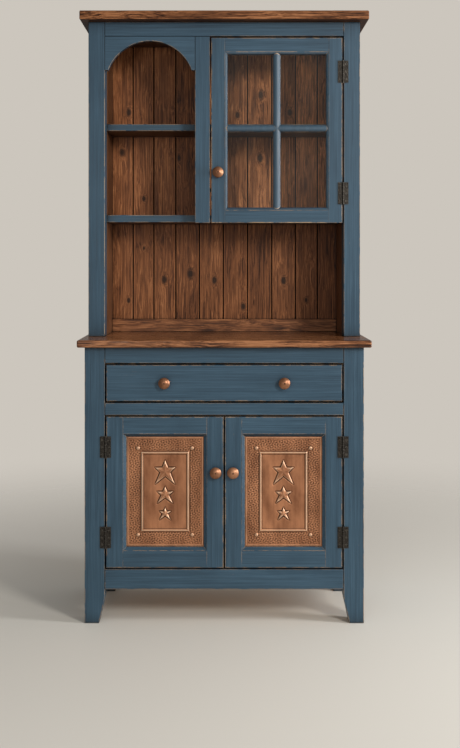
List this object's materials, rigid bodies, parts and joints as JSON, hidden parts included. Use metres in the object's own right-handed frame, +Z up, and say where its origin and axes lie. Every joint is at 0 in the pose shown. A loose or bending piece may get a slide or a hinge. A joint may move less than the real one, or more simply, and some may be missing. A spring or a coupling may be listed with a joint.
{
  "type": "glazed cabinet",
  "caption": "Two-part kitchen hutch: painted base with drawer and copper-panelled doors, and an upper case with an arched open cubby and a glazed door.",
  "frame": {"origin": "on the floor, under the middle of the counter", "axes": "+Z up, -Y out of the front, +X to the right when seen from the front"},
  "size_m": [0.932, 0.44, 1.934],
  "materials": {
    "painted_wood": "satin blue paint over pine, rubbed through to tan wood along the edges",
    "stained_wood": "dark brown stained pine with knots, satin",
    "bare_wood": "planed pine, unfinished",
    "copper": "aged copper, satin",
    "hammered_iron": "hammered dark iron",
    "screw_steel": "zinc plated",
    "glass": "clear 3 mm sheet glass",
    "catch_plastic": "brown moulded"
  },
  "bodies": {
    "case": {"base_back_panel": "bare_wood", "base_back_rails": "bare_wood", "base_bottom_rail": "painted_wood", "base_cleats": "bare_wood", "base_floor": "bare_wood", "base_front_posts": "painted_wood", "base_mid_rail": "painted_wood", "base_rear_posts": "painted_wood", "base_shelf": "bare_wood", "base_side_panels": "painted_wood", "base_side_rails": "painted_wood", "base_top_rail": "painted_wood", "case_screws": "screw_steel", "counter_top": "stained_wood", "drawer_kickers": "bare_wood", "drawer_runners": "bare_wood", "fixed_hinge_leaves": "hammered_iron", "hinge_pins": "hammered_iron", "hutch_arch_board": "painted_wood", "hutch_back_boards": "stained_wood", "hutch_back_rail": "stained_wood", "hutch_bottom_shelf": "stained_wood", "hutch_ceiling": "stained_wood", "hutch_divider": "stained_wood", "hutch_front_posts": "painted_wood", "hutch_mid_shelves": "stained_wood", "hutch_mid_stile": "painted_wood", "hutch_rear_posts": "painted_wood", "hutch_shelf_edges": "painted_wood", "hutch_side_linings": "stained_wood", "hutch_side_panels": "painted_wood", "hutch_side_rails": "painted_wood", "hutch_straps": "screw_steel", "hutch_top_board": "stained_wood", "hutch_top_rail": "painted_wood", "magnet_catches": "catch_plastic"},
    "drawer": {"drawer_back": "bare_wood", "drawer_bottom": "bare_wood", "drawer_front": "painted_wood", "drawer_knob_screws": "screw_steel", "drawer_knobs": "copper", "drawer_sides": "bare_wood"},
    "left_door": {"left_door_backing": "bare_wood", "left_door_copper_panel": "copper", "left_door_frame": "painted_wood", "left_door_ironwork": "hammered_iron", "left_door_knob": "copper"},
    "right_door": {"right_door_backing": "bare_wood", "right_door_copper_panel": "copper", "right_door_frame": "painted_wood", "right_door_ironwork": "hammered_iron", "right_door_knob": "copper"},
    "glazed_door": {"glazed_door_bars": "painted_wood", "glazed_door_beads": "painted_wood", "glazed_door_frame": "painted_wood", "glazed_door_ironwork": "hammered_iron", "glazed_door_knob": "copper", "glazed_door_panes": "glass"}
  },
  "joints": [
    {"name": "drawer_slide", "type": "slide", "parent": "case", "child": "drawer", "axis": [0, -1, 0], "range_m": [0, 0.28]},
    {"name": "left_door_hinge", "type": "hinge", "parent": "case", "child": "left_door", "pos_m": [-0.37, -0.1982, 0.407], "axis": [0, 0, -1], "range_deg": [0, 120]},
    {"name": "right_door_hinge", "type": "hinge", "parent": "case", "child": "right_door", "pos_m": [0.37, -0.1982, 0.407], "axis": [0, 0, 1], "range_deg": [0, 120]},
    {"name": "glazed_door_hinge", "type": "hinge", "parent": "case", "child": "glazed_door", "pos_m": [0.386, -0.0482, 1.55], "axis": [0, 0, 1], "range_deg": [0, 120]}
  ]
}
